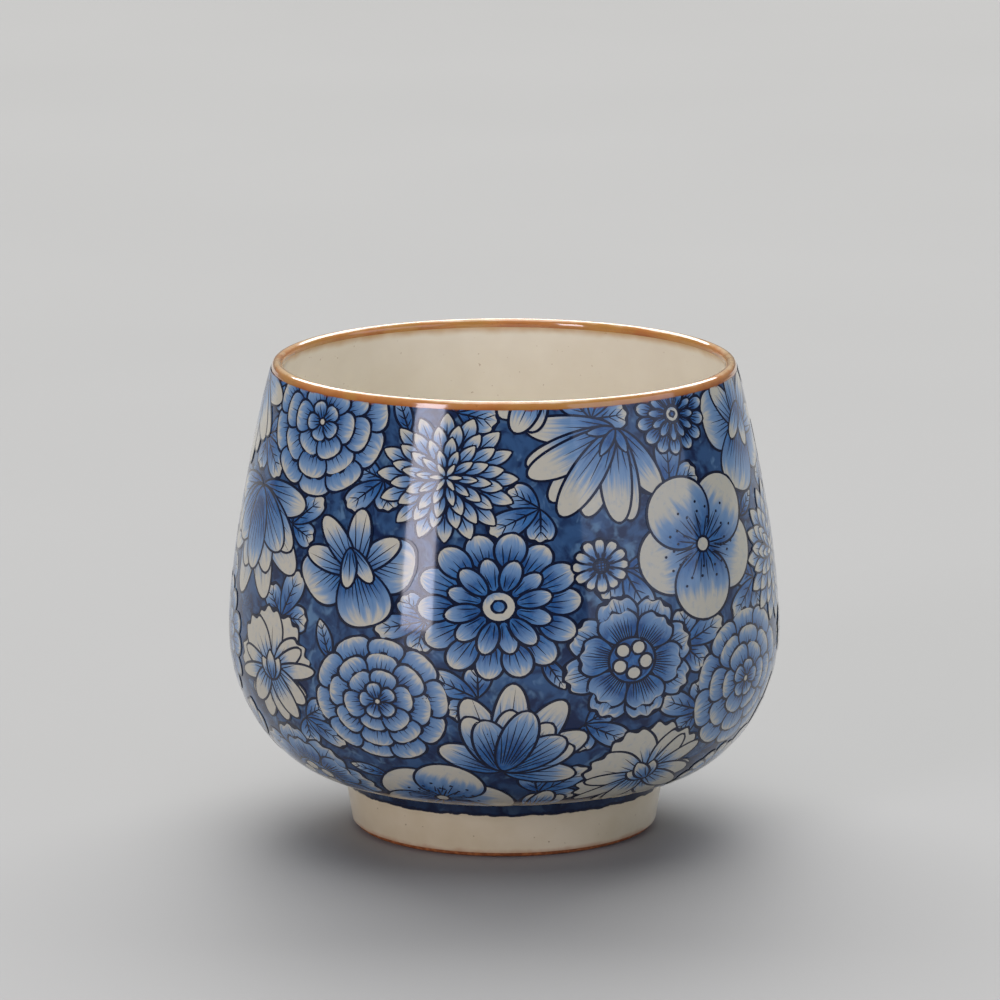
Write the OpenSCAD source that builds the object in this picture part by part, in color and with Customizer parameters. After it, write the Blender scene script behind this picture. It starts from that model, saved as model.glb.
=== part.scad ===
// Tall rounded teacup: a turned clay body on a luted foot ring, glazed in five coats that meet edge to
// edge. Lengths are in millimetres. The origin is the centre of the foot's resting face, +Z is up the
// axis, and every piece is a solid of revolution about that axis.

/* [Cup] */
// Overall height, from the resting face to the top of the lip
cup_h = 67; // [60:0.5:76]
// Outside diameter of the lip
mouth_d = 65.4; // [60:0.2:70]
// Largest outside diameter, at the belly
belly_d = 78; // [74:0.5:86]
// Height of the largest diameter
belly_z = 28.5; // [26:0.5:33]

/* [Wall] */
// Total thickness of the lip, clay and glaze together
lip_t = 1.5; // [1.3:0.1:1.8]
// Lean of the wall towards the axis at the lip, in degrees
lip_lean = 17; // [10:1:20]
// Total thickness of the wall at the belly
belly_t = 2.6; // [2.2:0.1:3.4]
// Height of the inside floor above the resting face
floor_z = 11; // [10:0.25:13]
// Radius of the flat middle of the inside floor
floor_r = 11; // [8:1:14]

/* [Glaze] */
// Thickness of each glaze coat
coat = 0.3; // [0.2:0.05:0.4]
// How far the coloured lip glaze comes down outside, from the top of the lip
band_out = 1.1; // [0.8:0.1:3]
// How far the coloured lip glaze comes down inside, from the top of the lip
band_in = 1.2; // [1.1:0.1:3]
// Height of the lower edge of the printed glaze, on the side of the foot
print_z = 6.1; // [5:0.1:7]

/* [Foot] */
// Height of the crease where the foot meets the bowl
foot_h = 8.3; // [7.6:0.1:9.5]
// Diameter of the foot under the crease
foot_d = 45.6; // [42:0.2:48]
// Taper of the outside of the foot, in degrees
foot_taper = 9; // [4:0.5:12]
// Radius of the pooled glaze in the crease
crease_r = 0.8; // [0.5:0.1:1.2]
// Thickness of the foot ring's wall where it meets the bowl
foot_t = 4; // [3.2:0.1:5]
// Depth of the recess inside the foot ring
recess_z = 5.5; // [4.5:0.1:6]
// Height of the bare clay edge left under the foot's glaze
bare_z = 0.7; // [0.7:0.1:1.5]
// Rounding of the resting ring's two edges
tread_r = 0.6; // [0.4:0.1:0.7]

/* [Hidden] */
$fn = 128;
// Steps along a curve of the profile, round a small arc, and along the lip's short straights
curve_n = 20;
arc_n = 8;
lip_n = 3;
// Centre of the lip's rounding, and the two lengths that set how full the shoulder is
lip_r = lip_t / 2;
lip_c = [mouth_d / 2 - lip_r, cup_h - lip_r];
shoulder = [12.5, 4.5];
// Reach of the belly's underside, down from the widest point and out from the foot
under = [11.6, 7.4];
// Radius and height of the widest place inside, a little above the widest place outside
hollow = [belly_d / 2 - belly_t, belly_z + 0.5];
// Lean of the inside wall at the lip, in degrees
hollow_lean = 15;
// Reach of the inside's lower curve, out from the floor and down from the widest place
well = [16, 13];
// Reach of the inside's upper curve, up from the widest place and down from the lip
neck = [12.5, 6];

// ---- small helpers ------------------------------------------------------------------------------

function at(c, r, a) = c + r * [cos(a), sin(a)];
function arc(c, r, a0, a1, n = arc_n) = [for (i = [0:n]) at(c, r, a0 + (a1 - a0) * i / n)];
function flip(p) = [for (i = [len(p) - 1:-1:0]) p[i]];
function tail(p) = [for (i = [1:len(p) - 1]) p[i]];

function bez(p, t) =
    pow(1 - t, 3) * p[0] + 3 * pow(1 - t, 2) * t * p[1] + 3 * (1 - t) * t * t * p[2] + pow(t, 3) * p[3];
function heading(p, t) =
    pow(1 - t, 2) * (p[1] - p[0]) + 2 * (1 - t) * t * (p[2] - p[1]) + t * t * (p[3] - p[2]);
// A point of the curve moved square to it by d, to the right of the way the curve runs
function beside(p, t, d) = let (h = heading(p, t)) bez(p, t) + d * [h[1], -h[0]] / norm(h);
function run(p, d, t0 = 0, t1 = 1, n = curve_n) =
    [for (i = [0:n]) beside(p, t0 + (t1 - t0) * i / n, d)];
// Where a rising curve passes the height z
function t_at(p, z, lo = 0, hi = 1, n = 24) =
    let (m = (lo + hi) / 2) n == 0 ? m
    : bez(p, m)[1] < z ? t_at(p, z, m, hi, n - 1) : t_at(p, z, lo, m, n - 1);

// ---- the profile, drawn on the glazed surface ----------------------------------------------------

// Crease between the foot and the bowl, and the line down the foot's side
crease_c = [foot_d / 2 + crease_r, foot_h - crease_r];
function foot_side(z, d) =
    let (p = at(crease_c, crease_r + d, 180 - foot_taper))
    [p[0] - (p[1] - z) * tan(foot_taper), z];

// Outside, rising: crease to belly, then belly to lip
low_curve = [
    [crease_c[0], foot_h], [crease_c[0] + under[1], foot_h],
    [belly_d / 2, belly_z - under[0]], [belly_d / 2, belly_z]
];
lip_out = at(lip_c, lip_r, lip_lean);
high_curve = [
    [belly_d / 2, belly_z], [belly_d / 2, belly_z + shoulder[0]],
    lip_out + shoulder[1] * [sin(lip_lean), -cos(lip_lean)], lip_out
];

// Inside, rising: floor to hollow, then hollow to lip
lip_in = at(lip_c, lip_r, 180 + hollow_lean);
well_curve = [[floor_r, floor_z], [floor_r + well[0], floor_z], hollow - [0, well[1]], hollow];
neck_curve = [
    hollow, hollow + [0, neck[0]],
    lip_in + neck[1] * [sin(hollow_lean), -cos(hollow_lean)], lip_in
];

// Where the lip's coloured glaze begins on each side
t_out = t_at(high_curve, cup_h - band_out);
t_in = t_at(neck_curve, cup_h - band_in);

// The outside from the crease up to t_out, at a depth d under the glazed surface
function crease(d) = flip(arc(crease_c, crease_r + d, 90, 180 - foot_taper));
function outside(d) =
    concat(crease(d), tail(run(low_curve, -d)), tail(run(high_curve, -d, 0, t_out)));
// The inside from the axis up to t_in, at a depth d behind the glazed surface
function inside(d) =
    concat([[0, floor_z - d]], run(well_curve, d), tail(run(neck_curve, d, 0, t_in)));
// Over the lip, from outside to inside
function over_lip(d) =
    concat(run(high_curve, -d, t_out, 1, lip_n),
        tail(arc(lip_c, lip_r - d, lip_lean, 180 + hollow_lean, 2 * arc_n)),
        tail(flip(run(neck_curve, d, t_in, 1, lip_n))));

// The recess: its ceiling corner, and the line down the inside of the ring
recess_r = foot_side(recess_z, coat)[0] - foot_t;
function recess_side(z) = [recess_r + (recess_z - z) * tan(foot_taper / 2), z];
tread_out = foot_side(tread_r, coat)[0] - tread_r;
tread_in = recess_side(tread_r)[0] + tread_r;

// ---- pieces ---------------------------------------------------------------------------------------

module turn(p) { rotate_extrude() polygon(p); }

// Wall, floor and lip, in one turned piece
module clay_body() {
    color([0.86, 0.80, 0.69])
    turn(concat([[0, recess_z], foot_side(recess_z, coat)], outside(coat), tail(over_lip(coat)),
        tail(flip(inside(coat)))));
}

// Ring that the bowl is luted to, with its two resting edges rounded
module foot_ring() {
    color([0.72, 0.45, 0.24])
    turn(concat([recess_side(recess_z)],
        arc([tread_in, tread_r], tread_r, 180, 270), arc([tread_out, tread_r], tread_r, 270, 360),
        [foot_side(recess_z, coat)]));
}

// Cream coat over the whole inside
module liner_glaze() {
    color([0.80, 0.76, 0.68])
    turn(concat(inside(0), flip(inside(coat))));
}

// Blue printed coat, from under the lip band to the top of the foot
module printed_glaze() {
    color([0.20, 0.33, 0.50])
    turn(concat([foot_side(print_z, 0)], outside(0), flip(outside(coat)), [foot_side(print_z, coat)]));
}

// Amber coat over the lip
module rim_band() {
    color([0.76, 0.47, 0.22])
    turn(concat(over_lip(0), flip(over_lip(coat))));
}

// Cream coat on the side of the foot, stopping short of the resting face
module foot_glaze() {
    color([0.78, 0.73, 0.62])
    turn([foot_side(bare_z, 0), foot_side(print_z, 0), foot_side(print_z, coat),
        foot_side(bare_z, coat)]);
}

// Cream coat in the recess under the floor
module base_glaze() {
    color([0.78, 0.74, 0.64])
    turn(concat([[0, recess_z], recess_side(recess_z), recess_side(bare_z),
        recess_side(bare_z) - [coat, 0]],
        arc([recess_r - coat - crease_r, recess_z - coat - crease_r], crease_r, 0, 90),
        [[0, recess_z - coat]]));
}

clay_body();
foot_ring();
liner_glaze();
printed_glaze();
rim_band();
foot_glaze();
base_glaze();
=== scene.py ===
"""Looks of the teacup: smooth glaze coats turned from the CAD outlines, and a blue flower print laid on the
outer coat flower by flower. Places and sizes come from the frame; lengths in the print are millimetres."""

import math
import random
from collections import namedtuple

import bmesh
import bpy
import numpy as np
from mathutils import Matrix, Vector


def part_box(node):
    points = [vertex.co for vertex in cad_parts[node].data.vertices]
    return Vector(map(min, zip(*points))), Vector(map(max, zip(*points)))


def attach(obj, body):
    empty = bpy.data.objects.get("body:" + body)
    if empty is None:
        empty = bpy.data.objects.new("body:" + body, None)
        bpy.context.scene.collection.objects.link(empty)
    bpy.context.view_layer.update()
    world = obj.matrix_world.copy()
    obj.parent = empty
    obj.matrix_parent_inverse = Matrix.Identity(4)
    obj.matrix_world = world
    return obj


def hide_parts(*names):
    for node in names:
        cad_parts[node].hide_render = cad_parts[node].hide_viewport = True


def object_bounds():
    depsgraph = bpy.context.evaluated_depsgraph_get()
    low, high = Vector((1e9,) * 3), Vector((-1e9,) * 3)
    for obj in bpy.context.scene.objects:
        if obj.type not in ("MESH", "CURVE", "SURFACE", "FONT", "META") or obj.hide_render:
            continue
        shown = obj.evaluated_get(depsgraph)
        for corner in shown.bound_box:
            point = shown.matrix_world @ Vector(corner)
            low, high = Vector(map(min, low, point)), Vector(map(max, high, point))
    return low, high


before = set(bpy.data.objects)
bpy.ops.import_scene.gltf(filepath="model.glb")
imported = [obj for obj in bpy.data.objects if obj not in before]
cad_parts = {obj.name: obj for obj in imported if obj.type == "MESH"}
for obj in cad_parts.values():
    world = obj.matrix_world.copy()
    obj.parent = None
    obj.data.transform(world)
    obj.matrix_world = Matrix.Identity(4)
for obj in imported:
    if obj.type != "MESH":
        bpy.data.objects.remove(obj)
cad_low, cad_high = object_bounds()

MM = 0.001
CUP_H = cad_high.z
LIP = CUP_H / MM
PRINT_FOOT, PRINT_TOP = (corner.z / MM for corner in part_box("printed_glaze"))

# ---- the turned shape ----------------------------------------------------------------------------

TURNS = 256  # facets round each coat
FINER = 3  # parts that each step of a CAD outline is split into
CORNER = math.radians(32)  # a sharper turn than this in an outline stays a corner
EDGE = math.radians(60)  # a sharper turn than this parts two sides of a coat's section
END_POINTS = 4  # a side with no more points than this is one of the coat's thin ends
STRAIGHT = 3  # a leg of an outline this many times as long as its neighbour is a straight line
SAME = 1e-5  # places closer than this, in metres, are one ring of the CAD mesh
SWAY_FROM, SWAY_OVER = 1, 8  # the sway sets in above this height, and grows over this much more, in mm


def outline(node):
    """The outline (radius, height) that a CAD node was turned from, in order, read off its mesh, and
    whether it closes on itself instead of starting and ending on the axis."""
    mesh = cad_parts[node].data
    ring = [(round(math.hypot(v.co.x, v.co.y) / SAME), round(v.co.z / SAME)) for v in mesh.vertices]
    joined = {}
    for a, b in (edge.vertices for edge in mesh.edges):
        if ring[a] != ring[b]:
            joined.setdefault(ring[a], set()).add(ring[b])
            joined.setdefault(ring[b], set()).add(ring[a])
    ends = sorted(k for k, others in joined.items() if len(others) == 1)
    path = [ends[0] if ends else min(joined)]
    while True:
        ahead = sorted(joined[path[-1]] - set(path))
        if not ahead:
            break
        path.append(ahead[0])
    points = [np.array(k, float) * SAME for k in path]
    if ends:
        points = [points[0] * (0, 1), *points, points[-1] * (0, 1)]
    return points, not ends


def unit(v):
    """A vector made one long."""
    return v / max(float(np.hypot(*v)), 1e-12)


def refine(points, closed):
    """The same outline with its gentle bends rounded, and its corners and straights kept: each leg
    becomes a cubic curve that leaves and arrives along the outline's heading there."""
    count = len(points)
    legs = count if closed else count - 1
    step = [points[(i + 1) % count] - points[i] for i in range(legs)]
    size = [float(np.hypot(*v)) for v in step]
    way = [v / length for v, length in zip(step, size)]

    def heading(i, own):
        """The way the outline runs at its point i."""
        if not closed and i in (0, count - 1):
            return way[own]
        a, b = (i - 1) % legs, i % legs
        if float(way[a] @ way[b]) < math.cos(CORNER):
            return way[own]
        if max(size[a], size[b]) > STRAIGHT * min(size[a], size[b]):
            return way[a] if size[a] > size[b] else way[b]
        return unit(way[a] * size[b] + way[b] * size[a])

    fine = []
    for i in range(legs):
        p, q = points[i], points[(i + 1) % count]
        u, v = heading(i, i) * size[i], heading((i + 1) % count, i) * size[i]
        for t in (k / FINER for k in range(FINER)):
            ends = p * (2 * t**3 - 3 * t**2 + 1) + q * (3 * t**2 - 2 * t**3)
            fine.append(ends + u * (t**3 - 2 * t**2 + t) + v * (t**3 - t**2))
    if not closed:
        fine.append(points[-1])
    return np.array(fine)


def sway(angle, height):
    """How far the hand-turned wall stands out of true, in metres: long shallow swells and faint rings."""
    z = height / MM
    swell = 0.035 * np.sin(2 * angle + 0.4 + z / 60) + 0.02 * np.sin(3 * angle - z / 22)
    rings = 0.012 * np.sin(z / 3.1 + np.sin(angle)) + 0.008 * np.sin(z / 5.3 + 2 * angle)
    return (swell + rings) * MM * np.clip((z - SWAY_FROM) / SWAY_OVER, 0, 1)


def tidy_normals(mesh):
    """Turns every face of a closed mesh outwards."""
    work = bmesh.new()
    work.from_mesh(mesh)
    bmesh.ops.recalc_face_normals(work, faces=work.faces)
    work.to_mesh(mesh)
    work.free()


def turned(name, node):
    """A smooth coat turned from the node's own outline."""
    points, closed = outline(node)
    path = refine(points, closed)
    if not closed:
        path = path[1:-1] if path[0][0] < SAME else path
    angles = np.linspace(0, 2 * math.pi, TURNS, endpoint=False)
    radius = path[:, :1] + sway(angles[None, :], path[:, 1:])
    grid = np.stack(
        [radius * np.cos(angles), radius * np.sin(angles), np.broadcast_to(path[:, 1:], radius.shape)], -1
    )
    verts = grid.reshape(-1, 3).tolist()
    rows = len(path)
    faces = []
    for i in range(rows if closed else rows - 1):
        low, high = i * TURNS, (i + 1) % rows * TURNS
        for j in range(TURNS):
            k = (j + 1) % TURNS
            faces.append((low + j, low + k, high + k, high + j))
    if not closed:
        for row, height in ((0, path[0][1]), (rows - 1, path[-1][1])):
            centre = len(verts)
            verts.append([0.0, 0.0, float(height)])
            for j in range(TURNS):
                k = (j + 1) % TURNS
                faces.append((centre, row * TURNS + j, row * TURNS + k))
    mesh = bpy.data.meshes.new(name)
    mesh.from_pydata(verts, [], faces)
    piece = bpy.data.objects.new(name, mesh)
    bpy.context.scene.collection.objects.link(piece)
    tidy_normals(mesh)
    mesh.shade_smooth()
    mesh.set_sharp_from_angle(angle=CORNER)
    return piece


# ---- laying flat art on the outer coat -----------------------------------------------------------


class Wall:
    """The outside of the printed coat, as height and radius by the way up it from its lower edge."""

    def __init__(self):
        points = outline("printed_glaze")[0]
        count = len(points)
        way = [unit(points[(i + 1) % count] - points[i]) for i in range(count)]
        corners = [i for i in range(count) if float(way[i - 1] @ way[i]) < math.cos(EDGE)]
        sides = []
        for a, b in zip(corners, corners[1:] + [corners[0] + count]):
            sides.append([points[i % count] for i in range(a, b + 1)])
        # The outside is the long side that lies farthest out
        side = max(sides, key=lambda s: (len(s) > END_POINTS) * sum(p[0] for p in s) / len(s))
        if side[0][1] > side[-1][1]:
            side = side[::-1]
        path = refine(side, False)
        self.up = np.concatenate([[0], np.cumsum(np.hypot(*np.diff(path, axis=0).T))]) / MM
        self.radius, self.height = path[:, 0], path[:, 1]
        slope = np.gradient(path, axis=0)
        slope /= np.hypot(*slope.T)[:, None]
        self.out = np.stack([slope[:, 1], -slope[:, 0]], -1)
        self.top = float(self.up[-1])

    def lay(self, angle, up, lift):
        """Points on the wall, and the directions square to it, for angles in radians and lengths in mm."""
        r, z = (np.interp(up, self.up, v) for v in (self.radius, self.height))
        n_r, n_z = (np.interp(up, self.up, self.out[:, i]) for i in (0, 1))
        r = r + sway(angle, z) + lift * MM * n_r
        z = z + lift * MM * n_z
        place = np.stack([r * np.cos(angle), r * np.sin(angle), z], -1)
        square = np.stack([n_r * np.cos(angle), n_r * np.sin(angle), n_z], -1)
        return place, square / np.linalg.norm(square, axis=1)[:, None]


wall = Wall()

# ---- drawing a petal -----------------------------------------------------------------------------

MESH = 0.45  # longest side of a patch of the print's mesh, in mm
LINE = 0.42  # breadth of the print's outlines, in mm
FINE = 0.2  # breadth of its finest strokes, in mm
FILM = 0.01  # how far the lowest colour of the print stands off the ground coat, in mm
STEP = 0.003  # how far each colour stands off the one that it overlaps, in mm
LEVEL = 12  # layers that each level of flowers takes up
LEAVES = 3  # layers that the leaves, which lie under the flowers, take up
TAPER = 0.001  # share of a petal's length that is cut off each end of its outline
WAVE_MESH = 6  # patches across each wave of a frilled petal
FRILL_MESH = 2  # times as many patches along a frilled petal
LEAST_ALONG, LEAST_ACROSS = 10, 4  # fewest patches along and across a petal
LEAST_STROKE = 5  # fewest patches along a stroke
LEAST_LINE = 0.8  # share of its breadth that a petal's outline keeps where the petal narrows
LEAST_WASH = 0.3  # share of the petal's breadth that the colour takes up even there

# How the parts of a flower differ from one another: shares, and angles in degrees
LENGTH_JITTER = 0.04
BREADTH_JITTER = 0.05
VEIN_JITTER = 0.2
RING_WOBBLE = 2
FAN_WOBBLE = 3
WAVE_SHIFT = 0.6  # in radians of a frill's waves
FAN_SHORTER = 0.12  # how much shorter the outermost petals of a fan are
VEIN_SHORTER = 0.35  # how much shorter the outermost veins of a petal are
VEIN_LEAN = 17  # how far they lean out
VEIN_START = 0.12  # how far up the petal they start
VEIN_SPREAD = 0.16  # how far to the side they start
BEND = 0.06  # how far the outermost veins and petals bend out, over their length

# How fast a petal opens from its base and closes to its tip
ROUND = (0.5, 0.5)
BROAD = (0.85, 0.42)
STRAP = (0.7, 0.3)
LENS = (0.75, 0.8)
OVAL = (0.6, 0.5)
TEAR = (0.5, 0.9)


def spread(share, full):
    """Half the breadth of a petal one wide, at a share of its length."""
    low, tip = full
    top = low / (low + tip)
    return 0.5 * (share / top) ** low * ((1 - share) / (1 - top)) ** tip


def toward(base, turn, far):
    """The point a distance from base, in the direction turn in degrees."""
    return base[0] + far * math.cos(math.radians(turn)), base[1] + far * math.sin(math.radians(turn))


class Art:
    """One flower or leaf, drawn flat: x along the wall's girth and y up the wall, in millimetres.

    Each point also keeps four facts for petal_paint: how far along and across its petal it lies, a number
    of the petal's own, and its tone, which is how far up the petal the blue reaches."""

    def __init__(self, seed):
        self.random = random.Random(seed)
        self.points, self.facts, self.faces, self.inked = [], [], [], []
        self.size = 0

    def jitter(self, share):
        """A factor near one, at most share off it."""
        return 1 + self.random.uniform(-share, share)

    def add(self, x, y, base, turn, layer, facts, ink):
        """Adds a grid of points, given across and along a petal, and its faces; ink marks the inked ones."""
        rows, cols = x.shape
        along, across = toward((0, 0), turn, 1), toward((0, 0), turn - 90, 1)
        place = [base[k] + along[k] * y + across[k] * x for k in (0, 1)]
        self.points.append(np.stack([*place, np.full(x.shape, layer)], -1).reshape(-1, 3))
        self.facts.append(np.stack(np.broadcast_arrays(*facts), -1).reshape(-1, 4))
        first = self.size + np.arange(rows - 1)[:, None] * cols + np.arange(cols - 1)[None, :]
        self.faces.append(np.stack([first, first + 1, first + cols + 1, first + cols], -1).reshape(-1, 4))
        self.inked.append(np.broadcast_to(ink, first.shape).reshape(-1))
        self.size += x.size

    def petal(self, base, turn, length, width, full=BROAD, line=LINE, layer=0, tone=0.5,
              bend=0.0, frill=0.0, lobes=3):
        """A petal with an ink outline, from its base at the angle turn, in degrees."""
        rows = max(LEAST_ALONG, math.ceil(length / MESH)) * (FRILL_MESH if frill else 1)
        cols = max(LEAST_ACROSS, math.ceil(width / MESH), WAVE_MESH * lobes if frill else 0)
        share = TAPER + (1 - 2 * TAPER) * (0.5 - 0.5 * np.cos(np.linspace(0, math.pi, rows + 1)))
        y = np.concatenate([[0], line + (length - 2 * line) * share, [length]])
        outer = width * spread(np.clip(y / length, TAPER, 1 - TAPER), full)
        inner = (width - 2 * line) * spread(share, full)
        inner = np.concatenate([inner[:1], inner, inner[-1:]])
        inner = np.maximum(np.minimum(inner, outer - LEAST_LINE * line), LEAST_WASH * outer)
        across = np.linspace(-1, 1, cols + 1)
        x = np.concatenate([-outer[:, None], inner[:, None] * across, outer[:, None]], 1)
        across = np.concatenate([[-1], across, [1]])[None, :]
        along = y[:, None] / length
        x = x + bend * length * along**2
        wave = np.cos(lobes * 2 * math.pi * x / width + self.random.uniform(-WAVE_SHIFT, WAVE_SHIFT))
        y = y[:, None] + frill * along**3 * wave
        ink = np.zeros((len(along) - 1, across.size - 1), bool)
        ink[[0, -1], :] = True
        ink[:, [0, -1]] = True
        self.add(x, y, base, turn, layer, (along, across * 0.5 + 0.5, self.random.random(), tone), ink)

    def stroke(self, base, turn, length, width, layer=0, bend=0.0, full=TEAR):
        """An ink stroke that starts broad and ends fine."""
        rows = max(LEAST_STROKE, math.ceil(length / MESH))
        share = np.linspace(TAPER, 1 - TAPER, rows + 1)
        half = width * spread(share, full)
        x = np.stack([-half, half], -1) + bend * length * share[:, None] ** 2
        facts = (share[:, None] * np.ones(2), 0.5, self.random.random(), 0.0)
        self.add(x, share[:, None] * length * np.ones(2), base, turn, layer, facts, True)

    def dot(self, centre, radius, layer, tone=None):
        """A round spot: plain ink, or outlined and washed where it has a tone."""
        base = (centre[0], centre[1] - radius)
        if tone is None:
            self.stroke(base, 90, 2 * radius, 2 * radius, layer, full=ROUND)
        else:
            self.petal(base, 90, 2 * radius, 2 * radius, ROUND, layer=layer, tone=tone)

    def veins(self, base, turn, length, breadth, count, layer, reach=0.6):
        """Fine strokes that fan up a petal from its base."""
        for k in range(count):
            side = (2 * k + 1) / count - 1
            start = toward(base, turn, VEIN_START * length)
            start = toward(start, turn - 90, VEIN_SPREAD * side * breadth)
            tall = length * reach * (1 - VEIN_SHORTER * abs(side)) * self.jitter(VEIN_JITTER)
            self.stroke(start, turn - VEIN_LEAN * side, tall, FINE, layer, bend=BEND * side)

    def leaf_of(self, base, turn, length, breadth, layer=0, veins=0, reach=0.6, **style):
        """A petal and its veins, half a layer over it."""
        self.petal(base, turn, length, breadth, layer=layer, **style)
        self.veins(base, turn, length, breadth, veins, layer + 0.5, reach)

    def ring(self, count, start, end, breadth, turn=0.0, layer=0, **style):
        """Petals round the middle, from radius start to end; every other one lies over its neighbours."""
        for i in range(count):
            angle = turn + 360 * i / count + self.random.uniform(-RING_WOBBLE, RING_WOBBLE)
            over = 2 if count % 2 and i == count - 1 else i % 2
            length = (end - start) * self.jitter(LENGTH_JITTER)
            broad = breadth * self.jitter(BREADTH_JITTER)
            self.leaf_of(toward((0, 0), angle, start), angle, length, broad, layer + over, **style)

    def fan(self, base, middle, count, half, length, breadth, layer=0, **style):
        """Petals spread from one base, half degrees each way of the middle one, in three layers."""
        for k in range(count):
            side = 2 * k / (count - 1) - 1 if count > 1 else 0
            turn = middle - side * half + self.random.uniform(-FAN_WOBBLE, FAN_WOBBLE)
            long = length * (1 - FAN_SHORTER * side * side) * self.jitter(LENGTH_JITTER)
            self.leaf_of(base, turn, long, breadth, layer + 2 * k % 3, bend=BEND * side, **style)


# ---- the flowers and leaves of the print ---------------------------------------------------------
# Each is drawn about the middle of a circle of radius r, and its lengths are shares of r.

BIG_DAISY = 5.5  # a daisy with a larger radius than this, in mm, has more petals
STAMEN = 1.3 * FINE  # breadth of a stamen, in mm
ANTHER = 1.2 * FINE  # radius of the spot at its tip, in mm


def daisy(art, r):
    """One row of strap petals round a dark, crossed middle."""
    count = 14 if r > BIG_DAISY else 12
    art.ring(count, 0.2 * r, r, 5.8 * r / count, veins=2, reach=0.35, full=STRAP, tone=0.6)
    art.dot((0, 0), 0.25 * r, 3, tone=1.2)
    for k in (-1, 0, 1):
        half = 0.22 * r * math.sqrt(1 - (0.5 * k) ** 2)
        art.stroke((0.11 * k * r, -half), 90, 2 * half, FINE, 4, full=ROUND)
        art.stroke((-half, 0.11 * k * r), 0, 2 * half, FINE, 5, full=ROUND)


def double_daisy(art, r):
    """Two rows of petals round an eye."""
    art.ring(14, 0.48 * r, r, 0.4 * r, full=OVAL, veins=3, tone=0.78)
    art.ring(12, 0.18 * r, 0.66 * r, 0.29 * r, turn=13, layer=3, full=OVAL, veins=2, tone=0.84)
    art.dot((0, 0), 0.22 * r, 6, tone=0.2)
    art.dot((0, 0), 0.1 * r, 7, tone=1.0)


def chrysanthemum(art, r):
    """Many pointed petals in five rows."""
    rows = ((16, 0.52, 1.0, 0.27), (16, 0.38, 0.82, 0.24), (12, 0.22, 0.63, 0.22), (10, 0.1, 0.45, 0.18))
    for i, (count, start, end, wide) in enumerate(rows):
        art.ring(count, start * r, end * r, wide * r, turn=11 * i, layer=2 * i, veins=1, full=LENS,
                 line=0.85 * LINE, tone=0.62)
    art.ring(6, 0, 0.25 * r, 0.13 * r, layer=8, full=LENS, line=0.85 * LINE, tone=0.3)


def camellia(art, r):
    """A rosette of broad, cream-edged petals in four rows."""
    rows = ((10, 0.48, 1.0, 0.6), (8, 0.26, 0.77, 0.54), (6, 0.08, 0.53, 0.46), (5, 0, 0.3, 0.28))
    for i, (count, start, end, wide) in enumerate(rows):
        art.ring(count, start * r, end * r, wide * r, turn=20 * i, layer=2 * i, veins=6 - i, full=BROAD,
                 tone=0.8)
    art.dot((0, 0), 0.07 * r, 9, tone=0.1)


def peony(art, r):
    """Two rows of ruffled petals round a seed head of five cream cells."""
    art.ring(8, 0.3 * r, r, 0.66 * r, veins=9, reach=0.8, frill=0.035 * r, tone=0.86)
    art.ring(6, 0.2 * r, 0.8 * r, 0.66 * r, turn=20, layer=2, veins=9, reach=0.75, frill=0.03 * r, tone=0.93)
    art.dot((0, 0), 0.38 * r, 5, tone=1.2)
    art.ring(5, 0.08 * r, 0.34 * r, 0.27 * r, turn=18, layer=6, full=ROUND, tone=0.1)


def plum(art, r):
    """Five round petals with long stamens."""
    art.ring(5, 0.06 * r, r, 1.0 * r, full=ROUND, veins=4, reach=0.35, tone=0.58)
    for i in range(15):
        angle = 24 * i + art.random.uniform(-5, 5)
        reach = r * art.random.uniform(0.28, 0.5)
        art.stroke((0, 0), angle, reach, STAMEN, 4, full=ROUND)
        for far in (reach, reach + 0.13 * r):
            art.dot(toward((0, 0), angle + art.random.uniform(-8, 8), far), ANTHER, 5)
    art.dot((0, 0), 0.12 * r, 6, tone=0.1)


def jasmine(art, r):
    """Five pointed petals, each drawn twice, one outline inside the other."""
    art.ring(5, 0.08 * r, r, 0.66 * r, full=OVAL, tone=0.1)
    art.ring(5, 0.2 * r, 0.86 * r, 0.42 * r, full=OVAL, line=0.7 * LINE, layer=3, veins=2, tone=0.95)
    art.dot((0, 0), 0.15 * r, 6, tone=0.1)


def lotus(art, r):
    """A cup of striped petals, seen from the side."""
    base = (0, -0.72 * r)
    art.fan(base, 90, 4, 36, 1.62 * r, 0.56 * r, full=OVAL, veins=5, reach=0.75, tone=0.72)
    art.fan(base, 90, 6, 76, 1.2 * r, 0.5 * r, layer=3, full=OVAL, veins=5, reach=0.75, tone=0.76)
    art.fan(base, 90, 3, 34, 1.2 * r, 0.56 * r, layer=6, full=OVAL, veins=7, reach=0.8, tone=0.86)


def magnolia(art, r):
    """Long pale petals that open from a stalk."""
    base = (0, -0.8 * r)
    art.fan(base, 90, 6, 60, 1.5 * r, 0.5 * r, full=OVAL, veins=4, reach=0.5, tone=0.66)
    art.fan(base, 90, 3, 26, 1.62 * r, 0.52 * r, layer=3, full=OVAL, veins=4, reach=0.5, tone=0.6)
    art.fan(base, 90, 3, 50, 0.5 * r, 0.2 * r, layer=6, full=LENS, tone=1.0)


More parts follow.
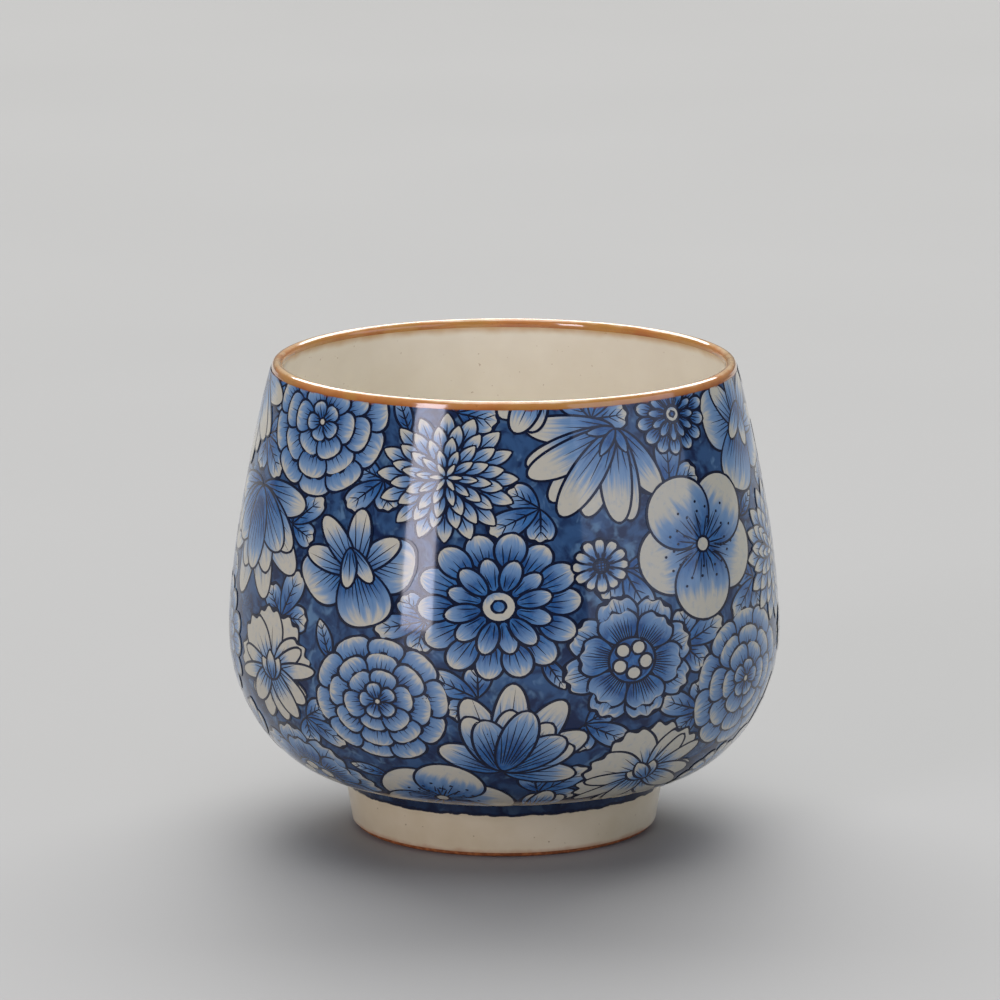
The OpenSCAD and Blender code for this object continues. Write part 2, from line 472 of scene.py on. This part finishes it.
def ruffled(art, r):
    """A large pale flower: a ruffled crown, narrow petals at its sides and drooping ones under it."""
    art.fan((0, -0.1 * r), 90, 5, 62, 1.02 * r, 0.68 * r, full=BROAD, veins=4, tone=0.42, frill=0.045 * r)
    for side in (0, 180):
        art.fan((0, -0.05 * r), side, 3, 24, 0.92 * r, 0.3 * r, layer=3, full=OVAL, veins=2, tone=0.5)
    art.fan((0, 0.05 * r), 270, 5, 44, 0.95 * r, 0.4 * r, layer=6, full=OVAL, veins=4, tone=0.5)
    art.fan((0, -0.2 * r), 90, 3, 26, 0.5 * r, 0.26 * r, layer=9, full=LENS, veins=2, tone=0.6)


def iris(art, r):
    """Three broad standards over narrow, streaked falls."""
    art.fan((0, -0.12 * r), 90, 3, 66, 1.08 * r, 0.92 * r, full=BROAD, veins=9, reach=0.7, tone=0.8)
    art.fan((0, 0.1 * r), 270, 4, 58, 1.02 * r, 0.42 * r, layer=3, full=OVAL, veins=4, reach=0.8, tone=0.66)
    art.fan((0, -0.3 * r), 90, 2, 16, 0.75 * r, 0.3 * r, layer=6, full=OVAL, veins=3, tone=0.66)


def bud(art, r):
    """A closed flower with a cream tip, in its cup of sepals."""
    art.fan((0, -r), 90, 3, 14, 2 * r, 0.95 * r, full=OVAL, veins=5, reach=0.7, tone=0.7)
    art.fan((0, -1.05 * r), 90, 3, 42, 0.7 * r, 0.36 * r, layer=3, full=LENS, tone=1.0)


def leaf(art, r):
    """A pointed leaf with a midrib and side veins, from its stalk up the y axis."""
    art.petal((0, -r), 90, 2 * r, 0.95 * r, full=LENS, tone=0.78)
    art.stroke((0, -1.1 * r), 90, 1.9 * r, 0.7 * LINE, 1)
    for k in range(4):
        for side in (-1, 1):
            art.stroke((0, (0.38 * k - 0.7) * r), 90 - 38 * side, 0.45 * r, FINE, 1)


def lobed(art, r):
    """A leaf of three ruffled lobes."""
    base = (0, -0.55 * r)
    for i, (turn, long) in enumerate(((152, 1.0), (28, 1.0), (90, 1.5))):
        art.petal(base, turn, long * r, 0.86 * r, layer=i, tone=0.78, frill=0.04 * r)
        art.stroke(base, turn, 0.85 * long * r, 0.8 * LINE, i + 0.5)
        for k in (0.25, 0.45, 0.65):
            for side in (-1, 1):
                art.stroke(toward(base, turn, k * long * r), turn + 36 * side, 0.34 * r, FINE, i + 0.5)


# ---- arranging the print -------------------------------------------------------------------------

# The kinds that take turns at a size, their radius in mm, the share of it that may lie over or under a
# neighbour, and whether they are leaves, which peep out from under the flowers
Size = namedtuple("Size", "kinds radius overlap leafy")
LARGE = (camellia, ruffled, peony, plum, chrysanthemum, lotus, double_daisy, magnolia, iris)
SIZES = (
    Size(LARGE, 10.9, 0.1, False),
    Size((daisy, jasmine, double_daisy, daisy, camellia), 6.5, 0.18, False),
    Size((daisy, bud), 4.4, 0.26, False),
    Size((lobed,), 5.6, 0.75, True),
    Size((leaf,), 3.3, 0.6, True),
)
SIZE_JITTER = 0.1
SEED = 4
PRINT_TURN = 60  # how far the finished print is turned about the cup, in degrees
TRIES = 3000  # places tried at random for each flower
FIRST_UP = 0.4  # how far up the wall the first flower lies, as a share of it
LOWEST = 3.5  # where the crease over the foot ends, up the wall, in mm
OVER_EDGE = 0.55  # share of a flower's radius that stays above it
OVER_TOP = 0.3  # share of a flower's radius by which its middle may lie above the print's top edge
NEAR = 0.15  # flowers closer than this share of the radius lie on different levels
NEIGHBOURS = 3  # a flower goes where this many others are closest
KIN = 34.0  # how far apart flowers of one kind like to be, in mm
TILT = 32  # how far a flower leans, in degrees
HANGING = 0.5  # flowers farther up the wall than this share of it hang down
SQUASH = 0.88  # height of a flower over its breadth
TINIEST = 1e-3  # points closer than this to a cut lie on it, in mm


def around(angle, other):
    """The way from one angle to another by the shorter side, in degrees."""
    return (angle - other + 180) % 360 - 180


class Print:
    """The flowers found room for so far: kind, and a row of angle (degrees), up and radius (mm), level."""

    def __init__(self):
        self.kinds, self.turns, self.leafy = [], [], []
        self.rows = np.zeros((0, 4))
        self.random = np.random.default_rng(SEED)

    def gaps(self, angle, up, radius):
        """The room over the wall between discs at trial places and those already there, in mm."""
        girth = np.interp((up[:, None] + self.rows[:, 1]) / 2, wall.up, wall.radius) / MM
        across = np.radians(around(angle[:, None], self.rows[:, 0])) * girth
        return np.hypot(across, (up[:, None] - self.rows[:, 1]) / SQUASH) - radius - self.rows[:, 2]

    def best(self, gaps, kind, radius, size):
        """The trial place with room that lies closest to others, but far from its own kind."""
        room = np.where(np.array(self.leafy), 0, -size.overlap * radius)
        free = (gaps >= room).all(axis=1)
        kin = np.array([other is kind for other in self.kinds])
        crowd = np.sort(gaps, axis=1)[:, :NEIGHBOURS].sum(axis=1)
        if not size.leafy:
            crowd += (np.clip(KIN - gaps, 0, None) * kin).max(axis=1)
        return int(np.argmin(np.where(free, crowd, np.inf))) if free.any() else None

    def facing(self, angle, up, gaps, leafy):
        """How far to turn a piece: leaves point away from their flower, and flowers high up hang down."""
        if not leafy:
            return 180 if up > HANGING * wall.top else 0
        flower = self.rows[int(gaps.argmin())]
        across = math.radians(around(angle, flower[0])) * np.interp(up, wall.up, wall.radius) / MM
        return math.degrees(math.atan2(up - flower[1], across)) - 90

    def place(self, kind, size):
        """Puts one flower on the wall, or says that there is no room."""
        radius = size.radius * self.random.uniform(1 - SIZE_JITTER, 1 + SIZE_JITTER)
        angle = self.random.uniform(0, 360, TRIES)
        up = self.random.uniform(LOWEST + OVER_EDGE * radius, wall.top + OVER_TOP * radius, TRIES)
        turn = self.random.uniform(-TILT, TILT)
        if not self.kinds:
            self.keep(kind, (0.0, FIRST_UP * wall.top, radius, 1), turn, size.leafy)
            return True
        gaps = self.gaps(angle, up, radius)
        best = self.best(gaps, kind, radius, size)
        if best is None:
            return False
        taken = set(self.rows[gaps[best] < NEAR * size.radius, 3])
        level = 0 if size.leafy else next(n for n in range(1, len(taken) + 2) if n not in taken)
        turn += self.facing(angle[best], up[best], gaps[best], size.leafy)
        self.keep(kind, (angle[best], up[best], radius, level), turn, size.leafy)
        return True

    def keep(self, kind, row, turn, leafy):
        """Notes down a flower that has its place."""
        self.kinds.append(kind)
        self.turns.append(turn)
        self.leafy.append(leafy)
        self.rows = np.vstack([self.rows, row])


def arrange():
    """Fills the wall, size by size, until nothing more fits."""
    flowers = Print()
    for size in SIZES:
        count = 0
        while flowers.place(size.kinds[count % len(size.kinds)], size):
            count += 1
    return flowers


def cut(mesh, height, keep_below):
    """Cuts flat art off above or below a height."""
    work = bmesh.new()
    work.from_mesh(mesh)
    bmesh.ops.bisect_plane(
        work, geom=work.verts[:] + work.edges[:] + work.faces[:], dist=TINIEST,
        plane_co=(0, height, 0), plane_no=(0, 1, 0), clear_outer=keep_below, clear_inner=not keep_below,
    )
    work.to_mesh(mesh)
    work.free()


def lay_print(name, draw, row, turn, seed, materials):
    """Draws one flower flat, trims it to the coat's edges, and lays it on the wall."""
    angle, up, radius, level = row
    art = Art(seed)
    draw(art, radius)
    points = np.concatenate(art.points)
    base = LEAVES + (level - 1) * LEVEL if level else 0
    c, s = math.cos(math.radians(turn)), math.sin(math.radians(turn))
    flat = np.stack(
        [points[:, 0] * c - points[:, 1] * s, up + SQUASH * (points[:, 0] * s + points[:, 1] * c),
         (points[:, 2] + base) * STEP + FILM], -1
    )
    mesh = bpy.data.meshes.new(name)
    mesh.from_pydata(flat.tolist(), [], np.concatenate(art.faces).tolist())
    mesh.attributes.new("petal", "FLOAT_COLOR", "POINT").data.foreach_set(
        "color", np.concatenate(art.facts).astype(np.float32).ravel()
    )
    mesh.polygons.foreach_set("material_index", np.concatenate(art.inked).astype(np.int32))
    if flat[:, 1].max() > wall.top:
        cut(mesh, wall.top, True)
    if flat[:, 1].min() < 0:
        cut(mesh, 0, False)
    flat = np.zeros(len(mesh.vertices) * 3)
    mesh.vertices.foreach_get("co", flat)
    flat = flat.reshape(-1, 3)
    girth = np.interp(flat[:, 1], wall.up, wall.radius) / MM
    middle = math.radians(angle + PRINT_TURN - 90)
    place, square = wall.lay(middle + flat[:, 0] / girth, flat[:, 1], flat[:, 2])
    mesh.vertices.foreach_set("co", place.ravel())
    mesh.shade_smooth()
    mesh.normals_split_custom_set_from_vertices(square.tolist())
    mesh.update()
    for material in materials:
        mesh.materials.append(material)
    piece = bpy.data.objects.new(name, mesh)
    bpy.context.scene.collection.objects.link(piece)
    return piece


# ---- materials -----------------------------------------------------------------------------------


NOISE_ROUGH = 0.55
MIX_INPUTS = (0, 6, 7)  # the Mix node's factor and two colours, among its inputs of all kinds
MIX_RESULT = 2  # its colour, among its outputs of all kinds


class Paint:
    """A small helper that wires one material's nodes."""

    def __init__(self, name, roughness, **values):
        self.material = bpy.data.materials.new(name)
        self.material.use_nodes = True
        self.tree = self.material.node_tree
        self.shader = self.tree.nodes["Principled BSDF"]
        self.shader.inputs["Roughness"].default_value = roughness
        for key, value in values.items():
            self.shader.inputs[key.replace("_", " ")].default_value = value
        self.object = self.node("ShaderNodeTexCoord").outputs["Object"]

    def node(self, kind, **settings):
        """A new node of a kind, with its settings."""
        made = self.tree.nodes.new(kind)
        for key, value in settings.items():
            setattr(made, key, value)
        return made

    def feed(self, socket, value):
        """Links another node's output to a socket, or sets it to a plain value."""
        if isinstance(value, bpy.types.NodeSocket):
            self.tree.links.new(value, socket)
        else:
            socket.default_value = value

    def noise(self, scale, detail=3.0, vector=None, distortion=0.0):
        """Noise from 0 to 1, scale in waves per metre unless a vector is given."""
        made = self.node("ShaderNodeTexNoise")
        self.feed(made.inputs["Vector"], vector or self.object)
        made.inputs["Scale"].default_value = scale
        made.inputs["Detail"].default_value = detail
        made.inputs["Distortion"].default_value = distortion
        made.inputs["Roughness"].default_value = NOISE_ROUGH
        return made.outputs["Fac"]

    def math(self, operation, a, b=0.0, c=0.0):
        """The result of a Math node."""
        made = self.node("ShaderNodeMath", operation=operation)
        for socket, value in zip(made.inputs, (a, b, c)):
            self.feed(socket, value)
        return made.outputs[0]

    def ramp(self, value, low, high, start=0.0, end=1.0):
        """A smooth step of a value, from start at low to end at high."""
        made = self.node("ShaderNodeMapRange", interpolation_type="SMOOTHSTEP")
        for socket, number in zip(made.inputs, (value, low, high, start, end)):
            self.feed(socket, number)
        return made.outputs[0]

    def mix(self, share, a, b):
        """Colour a turned into colour b by a share from 0 to 1."""
        made = self.node("ShaderNodeMix", data_type="RGBA")
        factor, first, second = (made.inputs[k] for k in MIX_INPUTS)
        self.feed(factor, share)
        self.feed(first, colour(a))
        self.feed(second, colour(b))
        return made.outputs[MIX_RESULT]

    def part(self, vector, axis):
        """One of the three parts of a vector or colour."""
        made = self.node("ShaderNodeSeparateXYZ")
        self.feed(made.inputs[0], vector)
        return made.outputs[axis]

    def height(self):
        """Height above the table, in mm."""
        return self.math("MULTIPLY", self.part(self.object, 2), 1 / MM)

    def ragged(self, scale, detail, depth):
        """Height in mm, raised by up to depth in places, so that a step of it makes a ragged edge."""
        return self.math("MULTIPLY_ADD", self.noise(scale, detail), depth, self.height())

    def base(self, value):
        """Sets the colour, and gives the finished material."""
        self.feed(self.shader.inputs["Base Color"], value)
        return self.material


def colour(value):
    """An sRGB colour written as #rrggbb, as the linear colour that a socket takes."""
    if not isinstance(value, str):
        return value
    parts = [int(value[k : k + 2], 16) / 255 for k in (1, 3, 5)]
    return tuple(v / 12.92 if v <= 0.04045 else ((v + 0.055) / 1.055) ** 2.4 for v in parts) + (1.0,)


INK = "#0a1530"
NAVY = "#12254a"
COBALT = "#33557f"
SKY = "#6488a9"
PETAL_BLUE = "#22518a"
PETAL_SKY = "#3d71a8"
HAZE = "#7898bb"
STREAK = "#1f3f70"
CREAM = "#c8c3b2"
AMBER = "#cf8a4c"
RUST = "#8a4a22"
OCHRE = "#c08f45"
AMBER_DEEP = "#a4581f"
CREST = "#f2d9b0"
FOOT_CREAM = "#dfceac"
SCORCH = "#b06a34"
SPECK = "#9a7b52"

GLAZE = 0.075  # roughness of the clear glaze


def edges(paint, inner):
    """The amber of the lip, run down over the top edge of the outer coat."""
    lip = paint.ramp(paint.ragged(500, 3.0, 1.2), PRINT_TOP + 0.45, PRINT_TOP + 0.8, 0.0, 0.85)
    return paint.mix(lip, inner, RUST)


def ground_paint():
    """Cobalt dabbed on in soft clouds under clear glaze, with painted shade darkening it towards the foot,
    and inked at its edge.
    """
    paint = Paint("cobalt_ground", GLAZE)
    brush = paint.noise(300, 3.0, distortion=0.7)
    cloud = paint.noise(430, 2.5, distortion=0.5)
    deep = paint.mix(paint.ramp(brush, 0.36, 0.62), NAVY, COBALT)
    light = paint.mix(paint.ramp(cloud, 0.52, 0.72, 0.0, 0.75), deep, SKY)
    # Painted shade: the ground turns towards the navy ink low on the wall, near the foot
    painted_shade = paint.ramp(paint.height(), PRINT_FOOT + 0.9, PRINT_FOOT + 13, 0.72, 0.0)
    edge = paint.ragged(520, 3.0, 0.9)
    inked = paint.mix(paint.ramp(edge, PRINT_FOOT + 0.85, PRINT_FOOT + 1.1), INK,
                      paint.mix(painted_shade, light, INK))
    printed = paint.mix(paint.ramp(edge, PRINT_FOOT + 0.52, PRINT_FOOT + 0.62), FOOT_CREAM, inked)
    return paint.base(edges(paint, printed))


def petal_paint():
    """Cobalt washed from the base of each petal out to a cream edge, with fine brush streaks."""
    paint = Paint("petal_wash", GLAZE)
    fact = paint.node("ShaderNodeAttribute", attribute_name="petal")
    tone = fact.outputs["Alpha"]
    along, across, seed = (paint.part(fact.outputs["Color"], k) for k in range(3))
    place = paint.node("ShaderNodeCombineXYZ")
    paint.feed(place.inputs[0], paint.math("MULTIPLY", across, 11.0))
    paint.feed(place.inputs[1], paint.math("MULTIPLY", along, 1.6))
    paint.feed(place.inputs[2], paint.math("MULTIPLY", seed, 60.0))
    streak = paint.noise(1.0, 3.0, vector=place.outputs[0])
    cloud = paint.noise(420, 3.0)
    reach = paint.math("MULTIPLY_ADD", paint.math("SUBTRACT", streak, 0.5), 0.55, along)
    reach = paint.math("SUBTRACT", reach, tone)
    blue = paint.mix(paint.ramp(cloud, 0.35, 0.65), PETAL_BLUE, PETAL_SKY)
    wash = paint.mix(paint.ramp(reach, -0.5, -0.04), blue, HAZE)
    wash = paint.mix(paint.ramp(reach, -0.12, 0.14), wash, CREAM)
    fine = paint.ramp(streak, 0.53, 0.64, 0.0, 0.85)
    fade = paint.ramp(reach, -0.45, 0.02, 1.0, 0.0)
    wash = paint.mix(paint.math("MULTIPLY", fine, fade), wash, STREAK)
    stain = paint.ramp(paint.noise(1300, 2.0), 0.5, 0.8, 0.0, 0.3)
    return paint.base(edges(paint, paint.mix(stain, wash, HAZE)))


def ink_paint():
    """Near-black cobalt line, a little thin in places."""
    paint = Paint("cobalt_ink", GLAZE)
    thin = paint.ramp(paint.noise(800, 3.0), 0.5, 0.8, 0.0, 0.6)
    return paint.base(edges(paint, paint.mix(thin, INK, NAVY)))


def cream_paint(name, low, high, roughness, speck=0.5):
    """Cream glaze with faint clouds and a few iron specks."""
    paint = Paint(name, roughness, Coat_Weight=0.3, Coat_Roughness=0.05)
    cloud = paint.mix(paint.ramp(paint.noise(120, 3.0), 0.3, 0.7), low, high)
    specks = paint.ramp(paint.noise(1500, 1.0), 0.74, 0.8, 0.0, speck)
    return paint, paint.mix(specks, cloud, SPECK)


def liner_paint():
    """The cream liner, with the lip's iron run thinly down into it."""
    paint, cream = cream_paint("cream_liner", "#ece5d6", "#f1ebdd", 0.12)
    stain = paint.ramp(paint.ragged(260, 2.0, 1.0), LIP - 1.9, LIP - 0.5, 0.0, 0.8)
    return paint.base(paint.mix(stain, cream, OCHRE))


def foot_paint():
    """The cream foot, scorched where its glaze ends."""
    paint, cream = cream_paint("cream_foot", "#dccaa6", "#e6d6b6", 0.3, 0.7)
    scorch = paint.ramp(paint.ragged(380, 3.0, 1.2), 1.0, 2.0, 0.6, 0.0)
    return paint.base(paint.mix(scorch, cream, SCORCH))


def recess_paint():
    """The same cream, thinner and duller, under the foot."""
    paint, cream = cream_paint("cream_recess", "#c6b99c", "#d8cdb4", 0.3, 0.7)
    return paint.base(cream)


def amber_paint():
    """Iron glaze, brushed on unevenly: pale where it is thin, on the crest, and brown where it pooled."""
    paint = Paint("amber_lip", 0.12, Coat_Weight=1.0, Coat_Roughness=0.06)
    level = paint.ragged(330, 4.0, 0.9)
    body = paint.mix(paint.ramp(level, LIP - 0.9, LIP + 0.25), AMBER_DEEP, AMBER)
    brushed = paint.mix(paint.ramp(paint.noise(90, 3.0), 0.42, 0.62, 0.0, 0.7), body, OCHRE)
    crest = paint.mix(paint.ramp(level, LIP + 0.1, LIP + 0.6, 0.0, 0.7), brushed, CREST)
    return paint.base(paint.mix(paint.ramp(paint.noise(2200, 2.0), 0.6, 0.8, 0.0, 0.4), crest, RUST))


def clay_paint(name, low, high):
    """Bare fired clay with fine grain."""
    paint = Paint(name, 0.8)
    grain = paint.mix(paint.ramp(paint.noise(1400, 4.0), 0.35, 0.7), low, high)
    bump = paint.node("ShaderNodeBump")
    bump.inputs["Strength"].default_value = 0.25
    bump.inputs["Distance"].default_value = 0.1 * MM
    paint.feed(bump.inputs["Height"], paint.noise(2600, 4.0))
    paint.feed(paint.shader.inputs["Normal"], bump.outputs[0])
    return paint.base(grain)


# ---- the pieces ----------------------------------------------------------------------------------


def settle(piece, node):
    """Puts a piece on the cup's one body, and hides the CAD node that it stands for."""
    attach(piece, "root")
    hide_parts(node)


def make_coats():
    """The glaze coats and the bare ring, each turned from its CAD node; the clay body stays as it is."""
    coats = (
        ("glaze_ground", "printed_glaze", "blue_print_glaze", ground_paint()),
        ("glaze_liner", "liner_glaze", "cream_glaze", liner_paint()),
        ("glaze_lip", "rim_band", "amber_glaze", amber_paint()),
        ("glaze_foot", "foot_glaze", "foot_cream_glaze", foot_paint()),
        ("glaze_recess", "base_glaze", "recess_glaze", recess_paint()),
        ("clay_foot_ring", "foot_ring", "bare_foot_clay", clay_paint("foot_clay", "#8a4a20", "#b96f3c")),
    )
    for name, node, slot, material in coats:
        piece = turned(name, node)
        piece.data.materials.append(material)
        settle(piece, node)
    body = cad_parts["clay_body"]
    body.data.materials.clear()
    body.data.materials.append(clay_paint("body_clay", "#c9ad84", "#d9c29c"))


def make_print():
    """Every flower and leaf of the print, each a piece of its own."""
    materials = (petal_paint(), ink_paint())
    flowers = arrange()
    for i, (kind, turn) in enumerate(zip(flowers.kinds, flowers.turns)):
        piece = lay_print(f"print_{kind.__name__}_{i:03d}", kind, flowers.rows[i], turn, i, materials)
        settle(piece, "printed_glaze")


# ---- light, floor and camera ---------------------------------------------------------------------


FLOOR_HALF = 2.0  # metres
FLOOR_DROP = 0.02 * MM  # the floor lies this far under the foot
FLOOR_TONES = ("#979694", "#9d9c9a")

# Name, angle from the front (to the right) and rise in degrees, distance, width and height in metres,
# power in watts, tint
LAMPS = (
    ("window_left", -36, 14, 1.1, 0.26, 0.72, 4.7, "#f6f1ff"),
    ("veil_right", 62, 16, 1.3, 1.4, 0.8, 4.2, "#dce5ff"),
    ("overhead", 0, 86, 3.0, 2.1, 2.3, 42.0, "#ffffff"),
    ("behind", 180, 46, 3.0, 4.6, 1.9, 140.0, "#ffffff"),
)
SURROUND = 0.15  # strength of the light from all round
BACKDROP = 0.6  # how strongly the camera sees it, past the edge of the floor
SURROUND_TINT = "#e9edf2"


def make_floor():
    """A plain pale floor just under the foot."""
    mesh = bpy.data.meshes.new("floor")
    corners = [(x * FLOOR_HALF, y * FLOOR_HALF, 0) for x, y in ((-1, -1), (1, -1), (1, 1), (-1, 1))]
    mesh.from_pydata(corners, [], [(0, 1, 2, 3)])
    floor = bpy.data.objects.new("floor", mesh)
    floor.location.z = -FLOOR_DROP
    bpy.context.scene.collection.objects.link(floor)
    paint = Paint("pale_floor", 0.55)
    floor.data.materials.append(paint.base(paint.mix(paint.noise(6, 2.0), *FLOOR_TONES)))


def softbox(name, angle, rise, far, width, height, power, tint):
    """A rectangular soft light that faces the cup, and that the camera doesn't see."""
    lamp = bpy.data.lights.new(name, "AREA")
    lamp.shape, lamp.size, lamp.size_y = "RECTANGLE", width, height
    lamp.energy, lamp.color = power, colour(tint)[:3]
    a, e = math.radians(angle), math.radians(rise)
    away = Vector((math.sin(a) * math.cos(e), -math.cos(a) * math.cos(e), math.sin(e)))
    made = bpy.data.objects.new(name, lamp)
    made.location = Vector((0, 0, CUP_H / 2)) + away * far
    made.rotation_euler = away.to_track_quat("Z", "Y").to_euler()
    made.visible_camera = False
    bpy.context.scene.collection.objects.link(made)


def make_light():
    """Light from all round, which only the camera sees at the backdrop's strength, and the lamps."""
    world = bpy.data.worlds.new("studio")
    world.use_nodes = True
    nodes, links = world.node_tree.nodes, world.node_tree.links
    background = nodes["Background"]
    background.inputs["Color"].default_value = colour(SURROUND_TINT)
    seen = nodes.new("ShaderNodeMapRange")
    seen.inputs["To Min"].default_value = SURROUND
    seen.inputs["To Max"].default_value = BACKDROP
    links.new(nodes.new("ShaderNodeLightPath").outputs["Is Camera Ray"], seen.inputs["Value"])
    links.new(seen.outputs[0], background.inputs["Strength"])
    bpy.context.scene.world = world
    for lamp in LAMPS:
        softbox(*lamp)


CAMERA_FAR = 0.861  # metres in front of the cup's axis
CAMERA_HIGH = 0.2274  # metres above the table
CAMERA_ASIDE = -0.0006  # metres to the right
CAMERA_DOWN = math.radians(11.86)
CAMERA_CLIP = (0.01, 20)  # nearest and farthest that it sees, in metres
FOCAL = 223.5  # in mm
SENSOR = 36.0  # in mm


def make_camera():
    """The camera, level from side to side, in front of the cup and looking a little down into it."""
    camera = bpy.data.objects.new("camera", bpy.data.cameras.new("camera"))
    camera.data.lens, camera.data.sensor_width = FOCAL, SENSOR
    camera.data.clip_start, camera.data.clip_end = CAMERA_CLIP
    camera.location = (CAMERA_ASIDE, -CAMERA_FAR, CAMERA_HIGH)
    camera.rotation_euler = (math.pi / 2 - CAMERA_DOWN, 0, 0)
    bpy.context.scene.collection.objects.link(camera)
    bpy.context.scene.camera = camera
    bpy.context.scene.view_settings.view_transform = "Standard"


make_coats()
make_print()
make_floor()
make_light()
make_camera()
